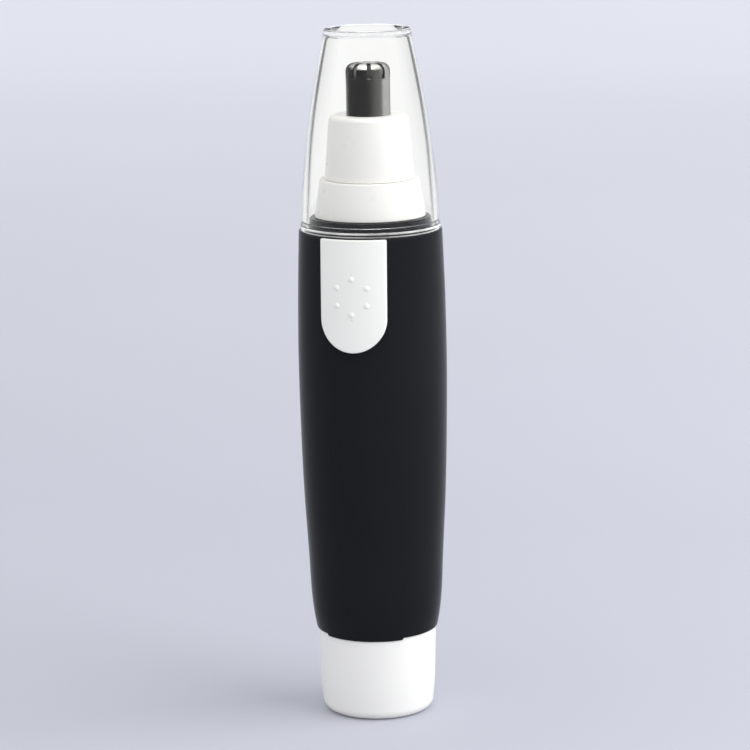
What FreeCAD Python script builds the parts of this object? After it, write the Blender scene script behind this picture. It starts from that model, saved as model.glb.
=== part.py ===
import FreeCAD, Part
import math
import os

# Nose hair trimmer, millimetres.
# Origin: centre of the flat underside. +Z runs up the barrel to the cutter, -Y is the thumb slider's side.

os.makedirs("parts", exist_ok=True)

V = FreeCAD.Vector
UP = V(0, 0, 1)
FRONT = -90.0                    # angle of the slider's side, counted from +X

# Driving heights, bottom to top
SEAM_Z = 16.85                   # between battery cap and barrel
SHOULDER_Z = 96.2                # top edge of the barrel, where the clear cap stands
NECK_TOP_Z = 98.9
TIER_Z = 106.0                   # step between the two tiers of the head
NOZZLE_TOP_Z = 118.3
GUARD_TOP_Z = 128.35
CAP_TOP_Z = 135.0

# Barrel and fits
GAP = 0.05                       # between parts that only touch
WALL = 1.6
BORE_R = 10.45                   # clear bore that the inside is loaded through
EDGE_R = 11.95                   # lower edge of the barrel
SHOULDER_R = 13.9
COLLAR_R = 12.6                  # the clear cap's foot fits round this
COLLAR_TOP_Z = 97.3
SOCKET_TOP_Z = 98.0              # inner ledge of the clear cap's foot
NECK_R = 11.76
TONGUE_DROP = 0.4
TONGUE_SWEEP = 79.0

# Thumb slider
SLIDER_W = 12.95
SLIDER_TOP = 96.1
SLIDER_LOW = 74.38
SLIDER_GAP = 0.12                # the barrel widens by less than this over the slider's travel
SLIDER_T = 0.55
TRAVEL = 2.0
DOT_RING_R = 3.4
DOTS_Z = 85.2

# Battery, size AA
CELL_R = 7.15
CELL_FOOT = 8.4
CELL_LENGTH = 50.5
NUB_H = 1.5
CELL_TOP = CELL_FOOT + CELL_LENGTH
CAN_TOP = CELL_TOP - NUB_H

# Motor
SHAFT_R = 1.0
MOTOR_R = 7.75
MOTOR_WALL = 0.5
MOTOR_LOW = 62.6
MOTOR_TOP = 86.0

# Chassis
CHASSIS_LOW = 22.0
DECK_LOW = CELL_TOP + 0.5
DECK_TOP = DECK_LOW + 0.8
RIM_R = BORE_R - 0.1
BACK_FLAT_Y = 9.4                # how far forward the flat for the switch contacts stands
STRIP_T = 0.3
STRIP_W = 2.6
STRIP_X = 1.7

# Cutter
GUARD_R = 4.27
GUARD_WALL = 0.4
SLOTS = 9
SLOT_W = 0.85
SLOT_LOW = 125.6
SLOT_R = 1.9                     # where the slots start
SLOT_TURN = 18.3
BLADE_TURN = 38.3                # keeps the blade's arms out of the slot nearest the slider
TWIST = 60.0


def lathe(*runs):
    """Turns a closed outline of (radius, height): 2 points are a line, 3 an arc, more a smooth curve."""
    edges = []
    for run in runs:
        points = [V(r, 0, z) for r, z in run]
        if len(points) == 2:
            edges.append(Part.makeLine(*points))
        elif len(points) == 3:
            edges.append(Part.Arc(*points).toShape())
        else:
            curve = Part.BSplineCurve()
            curve.interpolate(points)
            edges.append(curve.toShape())
    return Part.Face(Part.Wire(edges)).revolve(V(0, 0, 0), UP, 360)


def turned(points):
    """Turns a closed polygon of (radius, height)."""
    return lathe(*[pair for pair in zip(points, points[1:] + points[:1])])


def tube(r_in, r_out, z0, z1):
    shape = Part.makeCylinder(r_out, z1 - z0, V(0, 0, z0))
    if r_in > 0:
        shape = shape.cut(Part.makeCylinder(r_in, z1 - z0, V(0, 0, z0)))
    return shape


def box(x0, x1, y0, y1, z0, z1):
    return Part.makeBox(x1 - x0, y1 - y0, z1 - z0, V(x0, y0, z0))


def sector(r0, r1, z0, z1, middle, sweep):
    """Block between two radii that spans an angle about the axis."""
    corners = [V(r0, 0, z0), V(r1, 0, z0), V(r1, 0, z1), V(r0, 0, z1), V(r0, 0, z0)]
    shape = Part.Face(Part.makePolygon(corners)).revolve(V(0, 0, 0), UP, sweep)
    shape.rotate(V(0, 0, 0), UP, middle - sweep / 2)
    return shape


def turned_by(shape, angle):
    copy = shape.copy()
    copy.rotate(V(0, 0, 0), UP, angle)
    return copy


def around(shape, angles):
    return [turned_by(shape, a) for a in angles]


def every(count, first=0.0):
    return [first + k * 360.0 / count for k in range(count)]


def joined(shapes):
    return shapes[0].multiFuse(shapes[1:]).removeSplitter()


def bent_strip(path, x_mid, width):
    """Sheet strip that follows an axis-parallel path of (y, z), with a constant thickness."""
    half = STRIP_T / 2
    legs = []
    for (y0, z0), (y1, z1) in zip(path, path[1:]):
        legs.append(box(x_mid - width / 2, x_mid + width / 2, min(y0, y1) - half, max(y0, y1) + half,
                        min(z0, z1) - half, max(z0, z1) + half))
    return joined(legs)


def coil(wire_r, r_low, r_high, z0, z1, turns):
    """Round-wire compression spring about the axis, cylindrical or conical, swept half a turn at a time."""
    per_turn = 16
    steps = int(turns * per_turn)
    points = []
    for k in range(steps + 1):
        part = k / steps
        angle = 2 * math.pi * turns * part
        r = r_low + (r_high - r_low) * part
        points.append(V(r * math.cos(angle), r * math.sin(angle), z0 + wire_r + (z1 - z0 - 2 * wire_r) * part))
    curve = Part.BSplineCurve()
    curve.interpolate(points)
    joints = [curve.parameter(point) for point in points[::per_turn // 2]]
    path = Part.Wire([curve.toShape(a, b) for a, b in zip(joints, joints[1:])])
    start = curve.tangent(curve.FirstParameter)[0]
    section = Part.Wire(Part.makeCircle(wire_r, points[0], start))
    return path.makePipeShell([section], True, True)


def barrel_points(offset=0.0):
    """Outer curve of the barrel, widest a little below the slider."""
    curve = [(EDGE_R, SEAM_Z), (12.43, 19.6), (13.18, 29.9), (13.83, 42.0),
             (14.33, 58.0), (14.48, 71.0), (14.25, 86.0), (SHOULDER_R, SHOULDER_Z)]
    return [(r + offset, z) for r, z in curve]


def barrel_radius(z):
    """Barrel radius at a height, from the same points."""
    points = barrel_points()
    for (r0, z0), (r1, z1) in zip(points, points[1:]):
        if z <= z1:
            return r0 + (r1 - r0) * (z - z0) / (z1 - z0)
    return points[-1][0]


def outside_barrel(edge, offset):
    """True for an edge that lies wholly further out than the barrel's surface plus an offset."""
    ends = [v.Point for v in edge.Vertexes] + [edge.valueAt((edge.FirstParameter + edge.LastParameter) / 2)]
    return all(math.hypot(p.x, p.y) > barrel_radius(p.z) + offset for p in ends)


def slider_prism():
    """Bar with a half-round lower end, as a prism through the front of the barrel."""
    r = SLIDER_W / 2
    z_mid = SLIDER_LOW + r
    left = V(-r, 0, z_mid)
    right = V(r, 0, z_mid)
    edges = [
        Part.makeLine(right, V(r, 0, SLIDER_TOP)),
        Part.makeLine(V(r, 0, SLIDER_TOP), V(-r, 0, SLIDER_TOP)),
        Part.makeLine(V(-r, 0, SLIDER_TOP), left),
        Part.Arc(left, V(0, 0, z_mid - r), right).toShape(),
    ]
    face = Part.Face(Part.Wire(edges))
    face.translate(V(0, -8, 0))
    return face.extrude(V(0, -10, 0))


# ---------------------------------------------------------------- barrel

def body_shell():
    bevel = 0.3
    outer = barrel_points()
    steps = [(SHOULDER_R, SHOULDER_Z), (COLLAR_R, SHOULDER_Z), (COLLAR_R, COLLAR_TOP_Z), (NECK_R, COLLAR_TOP_Z),
             (NECK_R, NECK_TOP_Z - bevel), (NECK_R - bevel, NECK_TOP_Z), (0, NECK_TOP_Z), (0, SEAM_Z), outer[0]]
    solid = lathe(outer, *zip(steps, steps[1:]))

    deck_low = SHOULDER_Z - WALL
    inner = [(r, z) for r, z in barrel_points(-WALL) if 26 < z < 90]
    room_low = inner[0]
    room_top = (12.2, deck_low)
    room = lathe([(0, 24.0), (BORE_R, 24.0)], [(BORE_R, 24.0), room_low], inner, [inner[-1], room_top],
                 [room_top, (0, deck_low)], [(0, deck_low), (0, 24.0)])
    ribs = [sector(BORE_R, 13.2, 24.0, deck_low + 0.5, a, 5.0) for a in every(6, 0.0)]
    room = room.cut(Part.makeCompound(ribs))

    bore = Part.makeCylinder(BORE_R, 8.5, V(0, 0, SEAM_Z - 1))
    head_seat = Part.makeCylinder(10.2, NECK_TOP_Z - SHOULDER_Z + 1, V(0, 0, SHOULDER_Z))
    drive_hole = Part.makeCylinder(4.5, 6, V(0, 0, deck_low - 1))
    stem_slot = box(-1.7, 1.7, -15.0, -11.0, 84.0 - TRAVEL - 0.2, 87.2)
    shell = solid.cut(Part.makeCompound([room, bore, head_seat, drive_hole, stem_slot]))

    low = SEAM_Z - TONGUE_DROP
    tongue = turned([(BORE_R + 0.05, low), (EDGE_R - 0.05, low), (EDGE_R, SEAM_Z), (EDGE_R, SEAM_Z + 0.2),
                     (BORE_R + 0.05, SEAM_Z + 0.2)])
    tongue = tongue.common(sector(9, 13, SEAM_Z - 1, SEAM_Z + 1, FRONT, TONGUE_SWEEP))
    return joined([shell, tongue])


def head_base():
    deck = TIER_Z - 1.6
    lower = NECK_TOP_Z + GAP
    shape = turned([(8.75, SHOULDER_Z + GAP), (10.15, SHOULDER_Z + GAP), (10.15, lower), (10.74, lower),
                    (9.72, TIER_Z - 0.35), (9.4, TIER_Z), (6.3, TIER_Z), (6.3, deck), (8.3, deck),
                    (8.75, deck - 1.2)])
    notches = [sector(5.5, 7.5, deck - 1, TIER_Z + 1, a, 40.0) for a in (TWIST, TWIST + 180)]
    return shape.cut(Part.makeCompound(notches))


# ---------------------------------------------------------------- clear cap

def clear_cap():
    """Bullet-shaped shell with a stepped lip at its foot and a thick flat top with a shallow dish."""
    foot = SHOULDER_Z + GAP
    lip_r = 13.7
    lip_top = foot + 1.1
    bore_r = COLLAR_R + GAP
    ceiling = CAP_TOP_Z - 1.15
    dish = CAP_TOP_Z - 0.3
    wall = [(13.45, 97.7), (13.4, 99.7), (13.18, 103.7), (12.4, 111.5), (11.05, 121.1), (9.55, 128.8),
            (8.55, CAP_TOP_Z - 0.6)]
    inside = [(7.85, ceiling - 0.5), (9.53, 124.9), (10.77, 117.3), (11.63, 109.5), (12.12, 101.8), (12.3, SOCKET_TOP_Z)]
    return lathe(
        [(bore_r, foot), (lip_r - 0.3, foot)],
        [(lip_r - 0.3, foot), (lip_r - 0.09, foot + 0.09), (lip_r, foot + 0.3)],
        [(lip_r, foot + 0.3), (lip_r, lip_top - 0.3)],
        [(lip_r, lip_top - 0.3), wall[0]],
        wall,
        [wall[-1], (8.42, CAP_TOP_Z - 0.14), (8.1, CAP_TOP_Z)],
        [(8.1, CAP_TOP_Z), (7.7, CAP_TOP_Z)],
        [(7.7, CAP_TOP_Z), (7.5, dish)],
        [(7.5, dish), (0, dish)],
        [(0, dish), (0, ceiling)],
        [(0, ceiling), (7.4, ceiling)],
        [(7.4, ceiling), inside[0]],
        inside,
        [inside[-1], (bore_r, SOCKET_TOP_Z)],
        [(bore_r, SOCKET_TOP_Z), (bore_r, foot)],
    )


# ---------------------------------------------------------------- thumb slider and its contact

def switch_slider():
    """Thin plate that rides on the outside of the barrel, with a stem through the wall."""
    inner = barrel_points(SLIDER_GAP)
    outer = barrel_points(SLIDER_GAP + SLIDER_T)
    plate = lathe(inner, [inner[-1], outer[-1]], outer[::-1], [outer[0], inner[0]])
    plate = plate.common(slider_prism())
    front_edges = [e for e in plate.Edges if outside_barrel(e, SLIDER_GAP + SLIDER_T - 0.05)]
    plate = plate.makeFillet(0.28, front_edges)
    stem = box(-1.5, 1.5, -barrel_radius(87.0) - 0.3, -10.2, 84.0, 87.0)
    dots = []
    for k in range(6):
        angle = math.radians(90 + 60 * k)
        x = DOT_RING_R * math.cos(angle)
        z = DOTS_Z + DOT_RING_R * math.sin(angle)
        r = barrel_radius(z) + SLIDER_GAP + SLIDER_T - 0.27
        centre = V(x, -math.sqrt(r * r - x * x), z)
        dots.append(Part.makeSphere(0.55, centre, V(centre.x, centre.y, 0), 0, 90, 360))
    return joined([plate, stem] + dots)


def switch_bridge():
    plate = box(-3.0, 3.0, -10.16, -9.92, 83.6, 87.4)
    bumps = []
    for x in (-STRIP_X, STRIP_X):
        bump = Part.makeSphere(0.6, V(x, -10.4, 84.6)).common(box(-4, 4, -9.95, -9.0, 83, 87))
        bumps.append(bump)
    return joined([plate] + bumps)


# ---------------------------------------------------------------- chassis and current path

def inner_chassis():
    cell_tube = tube(7.55, 8.6, CHASSIS_LOW, DECK_LOW + 0.1)
    deck = Part.makeCylinder(RIM_R, DECK_TOP - DECK_LOW, V(0, 0, DECK_LOW))
    cradle = tube(MOTOR_R + 0.1, 8.9, DECK_TOP - 0.1, SHOULDER_Z - WALL - GAP)
    rings = [tube(8.0, RIM_R, z, z + 1.2) for z in (CHASSIS_LOW, 39.0, 89.0)]
    flat = box(-4.6, 4.6, -BACK_FLAT_Y, -7.5, 64.0, 86.5).cut(Part.makeCylinder(8.3, 40, V(0, 0, 60)))
    shape = joined([cell_tube, deck, cradle, flat] + rings)

    channel = box(-3.4, 3.4, -12, -8.62, 20, 64.0)
    front = box(-4.7, 4.7, -12, -BACK_FLAT_Y - 0.02, 64.0, 91.0)
    window = box(-3.4, 3.4, -10, -4.0, DECK_TOP, 64.0)
    leg_slot = box(-1.6, 1.6, 4.9, 5.7, DECK_LOW - 1, DECK_TOP + 1)
    vents = around(box(6, 12, -2.2, 2.2, 44.0, 54.0), (0, 180)) + around(box(6, 12, -2.2, 2.2, 27.0, 35.0), (0, 180))
    return shape.cut(Part.makeCompound([channel, front, window, leg_slot] + vents))


def negative_strip():
    path = [(-7.8, 17.6), (-7.8, 21.75), (-8.8, 21.75), (-8.8, 63.75), (-9.6, 63.75), (-9.6, 83.0)]
    return bent_strip(path, -STRIP_X, STRIP_W)


def motor_strip():
    path = [(-5.3, 61.2), (-9.6, 61.2), (-9.6, 83.0)]
    return bent_strip(path, STRIP_X, STRIP_W)


def positive_contact():
    disc = tube(0, 3.6, DECK_LOW - 0.35, DECK_LOW - 0.05)
    dimple = turned([(0, DECK_LOW - 0.46), (1.2, DECK_LOW - 0.46), (1.7, DECK_LOW - 0.34), (0, DECK_LOW - 0.34)])
    leg = box(-1.2, 1.2, 2.5, 5.45, DECK_LOW - 0.35, DECK_LOW - 0.05)
    riser = box(-1.2, 1.2, 5.15, 5.45, DECK_LOW - 0.35, 62.2)
    return joined([disc, dimple, leg, riser])


# ---------------------------------------------------------------- battery cap and battery

def battery_cap():
    top = SEAM_Z - GAP
    low = (8.9, 0)
    side = (10.93, 2.1)
    rim = (11.62, top)
    solid = lathe([(0, 0), low], [low, (10.34, 0.595), side],
                  [side, (11.22, 5.0), (11.44, 10.0), rim],
                  [rim, (10.3, top)], [(10.3, top), (10.3, 21.0)], [(10.3, 21.0), (9.9, 21.4)],
                  [(9.9, 21.4), (9.0, 21.4)], [(9.0, 21.4), (9.0, 2.0)], [(9.0, 2.0), (0, 2.0)], [(0, 2.0), (0, 0)])
    key = sector(10.3, 13, top - TONGUE_DROP, top + 1, FRONT, TONGUE_SWEEP + 0.6)
    solid = solid.cut(key)
    ribs = [sector(CELL_R + 0.2, 9.2, 1.9, 18.0, a, 8.0) for a in every(4, 45.0)]
    return joined([solid] + ribs)


def cap_contact():
    plate = tube(0, 6.2, 2.05, 2.35)
    arm = box(-3.0, -0.4, -8.35, 0, 2.05, 2.35)
    riser = box(-3.0, -0.4, -8.35, -8.05, 2.05, 21.3)
    return joined([plate, arm, riser])


def battery_spring():
    return coil(0.3, 5.2, 2.4, 2.4, CELL_FOOT - 0.05, 4.5)


def cell_can():
    edge = 0.5
    return turned([(0, CELL_FOOT), (6.4, CELL_FOOT), (CELL_R - 0.15, CELL_FOOT + edge),
                   (CELL_R - 0.15, CAN_TOP - 0.5), (6.6, CAN_TOP - 0.1), (0, CAN_TOP - 0.1)])


def cell_jacket():
    low = CELL_FOOT + 0.7
    return turned([(CELL_R - 0.13, low), (CELL_R, low), (CELL_R, CAN_TOP - 0.25), (6.75, CAN_TOP),
                   (5.6, CAN_TOP), (5.6, CAN_TOP - 0.07), (6.62, CAN_TOP - 0.07), (CELL_R - 0.13, CAN_TOP - 0.48)])


def cell_seal():
    return tube(3.0, 5.5, CAN_TOP - 0.08, CAN_TOP + 0.2)


def cell_nub():
    return turned([(0, CAN_TOP - 0.08), (2.75, CAN_TOP - 0.08), (2.75, CELL_TOP - 0.4),
                   (2.35, CELL_TOP), (0, CELL_TOP)])


# ---------------------------------------------------------------- motor

def motor_can():
    r_in = MOTOR_R - MOTOR_WALL
    return turned([(r_in, MOTOR_LOW + 0.6), (MOTOR_R, MOTOR_LOW + 0.6), (MOTOR_R, MOTOR_TOP - 0.7),
                   (MOTOR_R - 0.7, MOTOR_TOP), (3.0, MOTOR_TOP), (2.8, MOTOR_TOP + 1.3), (2.02, MOTOR_TOP + 1.3),
                   (2.02, MOTOR_TOP - 0.6), (r_in, MOTOR_TOP - 0.6)])


def motor_end_cap():
    disc = turned([(2.02, MOTOR_LOW), (MOTOR_R, MOTOR_LOW), (MOTOR_R, MOTOR_LOW + 0.55),
                   (MOTOR_R - MOTOR_WALL - 0.05, MOTOR_LOW + 0.55), (MOTOR_R - MOTOR_WALL - 0.05, MOTOR_LOW + 2.0),
                   (2.02, MOTOR_LOW + 2.0)])
    slots = [box(-1.35, 1.35, y - 0.25, y + 0.25, MOTOR_LOW - 1, MOTOR_LOW + 4) for y in (-4.9, 4.9)]
    return disc.cut(Part.makeCompound(slots))


def motor_terminals():
    tab = box(-1.25, 1.25, -5.1, -4.7, 60.6, MOTOR_LOW + 4.2)
    eye = Part.makeCylinder(0.45, 2, V(0, -6, 61.4), V(0, 1, 0))
    tab = tab.cut(eye)
    return Part.makeCompound(around(tab, (0, 180)))


def motor_brushes():
    block = box(-0.9, 0.9, -4.65, -2.33, MOTOR_LOW + 2.4, MOTOR_LOW + 4.1)
    block = block.cut(Part.makeCylinder(2.38, 10, V(0, 0, MOTOR_LOW)))
    return Part.makeCompound(around(block, (0, 180)))


def motor_bush(z0, z1):
    return tube(SHAFT_R + 0.04, 2.0, z0, z1)


def motor_magnets():
    arc = sector(5.75, MOTOR_R - MOTOR_WALL - 0.05, 67.6, 82.4, 0, 130)
    return Part.makeCompound(around(arc, (0, 180)))


def motor_shaft():
    shape = Part.makeCylinder(SHAFT_R, 34.0, V(0, 0, 61.6))
    return shape.makeChamfer(0.2, [e for e in shape.Edges if e.Closed])


def armature_core():
    hub = tube(SHAFT_R + 0.01, 2.3, 69.0, 81.0)
    poles = []
    for angle in every(3, 90):
        arm = box(1.6, 4.9, -1.0, 1.0, 69.0, 81.0)
        shoe = sector(4.6, 5.4, 69.0, 81.0, 0, 100)
        poles.append(turned_by(arm, angle))
        poles.append(turned_by(shoe, angle))
    core = joined([hub] + poles)
    return core.cut(Part.makeCylinder(SHAFT_R + 0.01, 30, V(0, 0, 60)))


def armature_windings():
    loop = box(2.45, 4.05, -1.85, 1.85, 67.9, 82.1).cut(box(2, 5, -1.03, 1.03, 68.95, 81.05))
    loop = loop.makeFillet(0.45, [e for e in loop.Edges if abs(e.BoundBox.XLength - 1.6) < 1e-6
                                  and abs(e.CenterOfMass.y) > 1.5])
    return Part.makeCompound(around(loop, every(3, 90)))


def commutator():
    drum = tube(SHAFT_R + 0.01, 2.3, MOTOR_LOW + 2.3, MOTOR_LOW + 4.9)
    gaps = around(box(2.0, 3, -0.12, 0.12, 60, 80), every(3, 30))
    return drum.cut(Part.makeCompound(gaps))


def drive_coupling():
    barrel = tube(SHAFT_R + 0.01, 2.8, 88.4, 95.7)
    top = turned([(0, 95.6), (2.8, 95.6), (2.5, 97.0), (0, 97.0)])
    peg = box(-1.2, 1.2, -1.2, 1.2, 96.9, 103.8)
    return joined([barrel, top, peg])


def blade_carrier():
    stem = turned([(0, 99.0), (2.3, 99.0), (2.3, 101.9), (3.8, 102.0), (3.8, 102.8), (2.4, 103.0),
                   (2.4, 117.4), (1.9, 118.9), (0, 118.9)])
    socket = box(-1.3, 1.3, -1.3, 1.3, 98.0, 104.4)
    blade_hole = Part.makeCylinder(1.02, 10, V(0, 0, 112.9))
    return stem.cut(Part.makeCompound([socket, blade_hole]))


def blade_spring():
    return coil(0.2, 2.95, 2.95, 97.1, 101.9, 4.0)


# ---------------------------------------------------------------- cutter head

def cutter_nozzle():
    low = TIER_Z + GAP
    shape = lathe([(5.0, 102.9), (6.2, 102.9)], [(6.2, 102.9), (6.2, 115.6)], [(6.2, 115.6), (6.6, 115.6)],
                  [(6.6, 115.6), (7.5, low)], [(7.5, low), (8.65, low)], [(8.65, low), (8.7, low + 0.2)],
                  [(8.7, low + 0.2), (7.72, 117.4)],
                  [(7.72, 117.4), (7.48, NOZZLE_TOP_Z - 0.26), (6.84, NOZZLE_TOP_Z)],
                  [(6.84, NOZZLE_TOP_Z), (4.5, NOZZLE_TOP_Z)], [(4.5, NOZZLE_TOP_Z), (4.3, NOZZLE_TOP_Z - 0.2)],
                  [(4.3, NOZZLE_TOP_Z - 0.2), (4.3, 108.85)], [(4.3, 108.85), (5.0, 108.85)],
                  [(5.0, 108.85), (5.0, 102.9)])
    lugs = [sector(6.0, 7.3, 102.9, 104.3, a, 34.0) for a in (0, 180)]
    return joined([shape] + lugs)


def cutter_guard():
    inner = GUARD_R - GUARD_WALL
    round_r = 1.6
    c = math.sqrt(0.5)
    out_mid = (GUARD_R - round_r + round_r * c, GUARD_TOP_Z - round_r + round_r * c)
    in_r = round_r - GUARD_WALL
    in_mid = (GUARD_R - round_r + in_r * c, GUARD_TOP_Z - round_r + in_r * c)
    top_in = GUARD_TOP_Z - GUARD_WALL
    corner_z = GUARD_TOP_Z - round_r
    corner_r = GUARD_R - round_r
    shape = lathe([(inner, 108.0), (4.95, 108.0)], [(4.95, 108.0), (4.95, 108.8)], [(4.95, 108.8), (GUARD_R, 108.8)],
                  [(GUARD_R, 108.8), (GUARD_R, corner_z)], [(GUARD_R, corner_z), out_mid, (corner_r, GUARD_TOP_Z)],
                  [(corner_r, GUARD_TOP_Z), (0, GUARD_TOP_Z)], [(0, GUARD_TOP_Z), (0, top_in)],
                  [(0, top_in), (corner_r, top_in)], [(corner_r, top_in), in_mid, (inner, corner_z)],
                  [(inner, corner_z), (inner, 108.0)])
    slot = box(SLOT_R, 6, -SLOT_W / 2, SLOT_W / 2, SLOT_LOW, GUARD_TOP_Z + 1)
    slots = around(slot, every(SLOTS, FRONT + SLOT_TURN))
    return shape.cut(Part.makeCompound(slots))


def inner_blade():
    r = GUARD_R - GUARD_WALL - 0.08
    top = GUARD_TOP_Z - GUARD_WALL - 0.08
    c = 1.3
    s = math.sqrt(0.5)
    mid = (r - c + c * s, top - c + c * s)
    head = lathe([(0, 119.0), (r, 119.0)], [(r, 119.0), (r, top - c)], [(r, top - c), mid, (r - c, top)],
                 [(r - c, top), (0, top)], [(0, top), (0, 119.0)])
    arms = joined([box(-5, 5, -0.25, 0.25, 118, 129), box(-0.25, 0.25, -5, 5, 118, 129)])
    blades = head.common(arms)
    blades.rotate(V(0, 0, 0), UP, BLADE_TURN)
    stem = Part.makeCylinder(1.0, 7.6, V(0, 0, 113.2))
    return joined([blades, stem])


NODES = {
    "body_shell": body_shell,
    "head_base": head_base,
    "clear_cap": clear_cap,
    "switch_slider": switch_slider,
    "switch_bridge": switch_bridge,
    "inner_chassis": inner_chassis,
    "negative_strip": negative_strip,
    "motor_strip": motor_strip,
    "positive_contact": positive_contact,
    "battery_cap": battery_cap,
    "cap_contact": cap_contact,
    "battery_spring": battery_spring,
    "cell_can": cell_can,
    "cell_jacket": cell_jacket,
    "cell_seal": cell_seal,
    "cell_nub": cell_nub,
    "motor_can": motor_can,
    "motor_end_cap": motor_end_cap,
    "motor_terminals": motor_terminals,
    "motor_brushes": motor_brushes,
    "motor_bush_lower": lambda: motor_bush(MOTOR_LOW - 0.2, MOTOR_LOW + 2.1),
    "motor_bush_upper": lambda: motor_bush(MOTOR_TOP - 0.8, MOTOR_TOP + 1.4),
    "motor_magnets": motor_magnets,
    "motor_shaft": motor_shaft,
    "armature_core": armature_core,
    "armature_windings": armature_windings,
    "commutator": commutator,
    "drive_coupling": drive_coupling,
    "blade_carrier": blade_carrier,
    "blade_spring": blade_spring,
    "cutter_nozzle": cutter_nozzle,
    "cutter_guard": cutter_guard,
    "inner_blade": inner_blade,
}

for name, make in NODES.items():
    shape = make()
    print(name, len(shape.Solids), shape.isValid(), round(shape.Volume, 2))
    shape.exportStep("parts/" + name + ".step")
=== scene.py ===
import bpy
import bmesh
import math
from mathutils import Matrix, Vector


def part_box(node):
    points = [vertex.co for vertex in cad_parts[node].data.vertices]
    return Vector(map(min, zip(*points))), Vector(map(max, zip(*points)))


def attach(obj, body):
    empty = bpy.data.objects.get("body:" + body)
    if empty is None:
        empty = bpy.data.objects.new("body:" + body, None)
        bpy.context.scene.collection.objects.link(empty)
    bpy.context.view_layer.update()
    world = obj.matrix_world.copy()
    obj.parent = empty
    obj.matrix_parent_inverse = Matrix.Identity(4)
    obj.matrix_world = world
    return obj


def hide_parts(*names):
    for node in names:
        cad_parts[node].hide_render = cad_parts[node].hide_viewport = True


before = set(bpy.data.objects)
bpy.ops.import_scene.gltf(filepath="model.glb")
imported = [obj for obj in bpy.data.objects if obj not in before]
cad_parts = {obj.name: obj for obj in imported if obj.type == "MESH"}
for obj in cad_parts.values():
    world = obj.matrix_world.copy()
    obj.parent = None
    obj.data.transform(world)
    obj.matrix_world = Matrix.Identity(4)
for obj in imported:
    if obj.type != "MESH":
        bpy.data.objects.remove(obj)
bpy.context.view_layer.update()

# ---------------------------------------------------------------- sizes, in millimetres and degrees

MM = 0.001                       # one millimetre in the frame's metres
FRONT = -90.0                    # direction of the thumb slider
GAP = 0.05                       # between pieces that fit into each other

SEAM_Z = 16.85                   # between foot cap and barrel
SHOULDER_Z = 96.2
COLLAR_TOP_Z = 97.3
SOCKET_TOP_Z = 98.0              # inner ledge of the cover's foot
NECK_TOP_Z = 98.9
NOZZLE_FOOT_Z = 102.9
TIER_Z = 106.0                   # between the two white tiers
GUARD_FOOT_Z = 108.0
NOZZLE_TOP_Z = 118.3
GUARD_TOP_Z = 128.35
COVER_TOP_Z = 135.0

WALL_T = 1.6                     # walls of the barrel and the lower tier
BORE_R = 10.45
EDGE_R = 11.95                   # lower edge of the barrel
SHOULDER_R = 13.9
COLLAR_R = 12.6                  # the cover's foot fits round this
NECK_R = 11.76
NECK_BORE_R = 10.2
TONGUE_DROP = 0.4                # how far the seam dips below the slider
TONGUE_HALF = 39.5               # either side of the slider
RIBS = 6

SLIDER_W = 12.95
SLIDER_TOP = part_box("switch_slider")[1][2] / MM
SLIDER_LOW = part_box("switch_slider")[0][2] / MM
SLIDER_GAP = 0.12                # between slider and barrel
SLIDER_T = 0.55
SLIDER_TRAVEL = 2.0
STEM_LOW = 84.0                  # the stem passes through the barrel's wall
STEM_TOP = 87.0
STEM_HALF = 1.5
STEM_GAP = 0.2
DOTS = 6
DOT_RING_R = 3.4
DOTS_Z = 85.2

GUARD_R = 4.27
GUARD_WALL = 0.4
GUARD_ROUND = 1.6
SLOTS = 9
SLOT_TURN = 18.3                 # first slot from the slider
SLOT_W = 0.85
SLOT_LOW = 125.6
SLOT_R = 1.9                     # where the slots start

BARREL = [(EDGE_R, SEAM_Z), (12.43, 19.6), (13.18, 29.9), (13.83, 42.0),
          (14.33, 58.0), (14.48, 71.0), (14.25, 86.0), (SHOULDER_R, SHOULDER_Z)]

CLEAR_INDEX = 1.49               # refractive index of the clear moulding
# heights on the clear cover's lip and rim drawn in pale matte white: painted highlight lines on their edges
PAINTED_HIGHLIGHT_RINGS = [(SHOULDER_Z - 0.1, SHOULDER_Z + 0.45), (SHOULDER_Z + 0.68, SHOULDER_Z + 1.12),
               (COVER_TOP_Z - 0.2, COVER_TOP_Z + 0.5)]


# ---------------------------------------------------------------- outlines and meshes

def natural_spline(points):
    """Smooth radius as a function of height through (radius, height) points."""
    z = [p[1] for p in points]
    r = [p[0] for p in points]
    n = len(points)
    h = [z[i + 1] - z[i] for i in range(n - 1)]
    low = [0.0] * n
    mid = [1.0] * n
    rhs = [0.0] * n
    up = [0.0] * n
    for i in range(1, n - 1):
        low[i] = h[i - 1]
        mid[i] = 2 * (h[i - 1] + h[i])
        up[i] = h[i]
        rhs[i] = 6 * ((r[i + 1] - r[i]) / h[i] - (r[i] - r[i - 1]) / h[i - 1])
    for i in range(1, n):
        share = low[i] / mid[i - 1]
        mid[i] -= share * up[i - 1]
        rhs[i] -= share * rhs[i - 1]
    bend = [0.0] * n
    for i in range(n - 2, 0, -1):
        bend[i] = (rhs[i] - up[i] * bend[i + 1]) / mid[i]

    def radius(height):
        k = 0
        while k < n - 2 and height > z[k + 1]:
            k += 1
        t = height - z[k]
        slope = (r[k + 1] - r[k]) / h[k] - h[k] * (2 * bend[k] + bend[k + 1]) / 6
        return r[k] + slope * t + bend[k] / 2 * t * t + (bend[k + 1] - bend[k]) / (6 * h[k]) * t ** 3

    return radius


barrel_radius = natural_spline(BARREL)


def curve_points(radius, z0, z1, count):
    """Points of a radius function from z0 to z1, both ends included."""
    heights = [z0 + (z1 - z0) * k / count for k in range(count + 1)]
    return [(radius(z), z) for z in heights]


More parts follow.
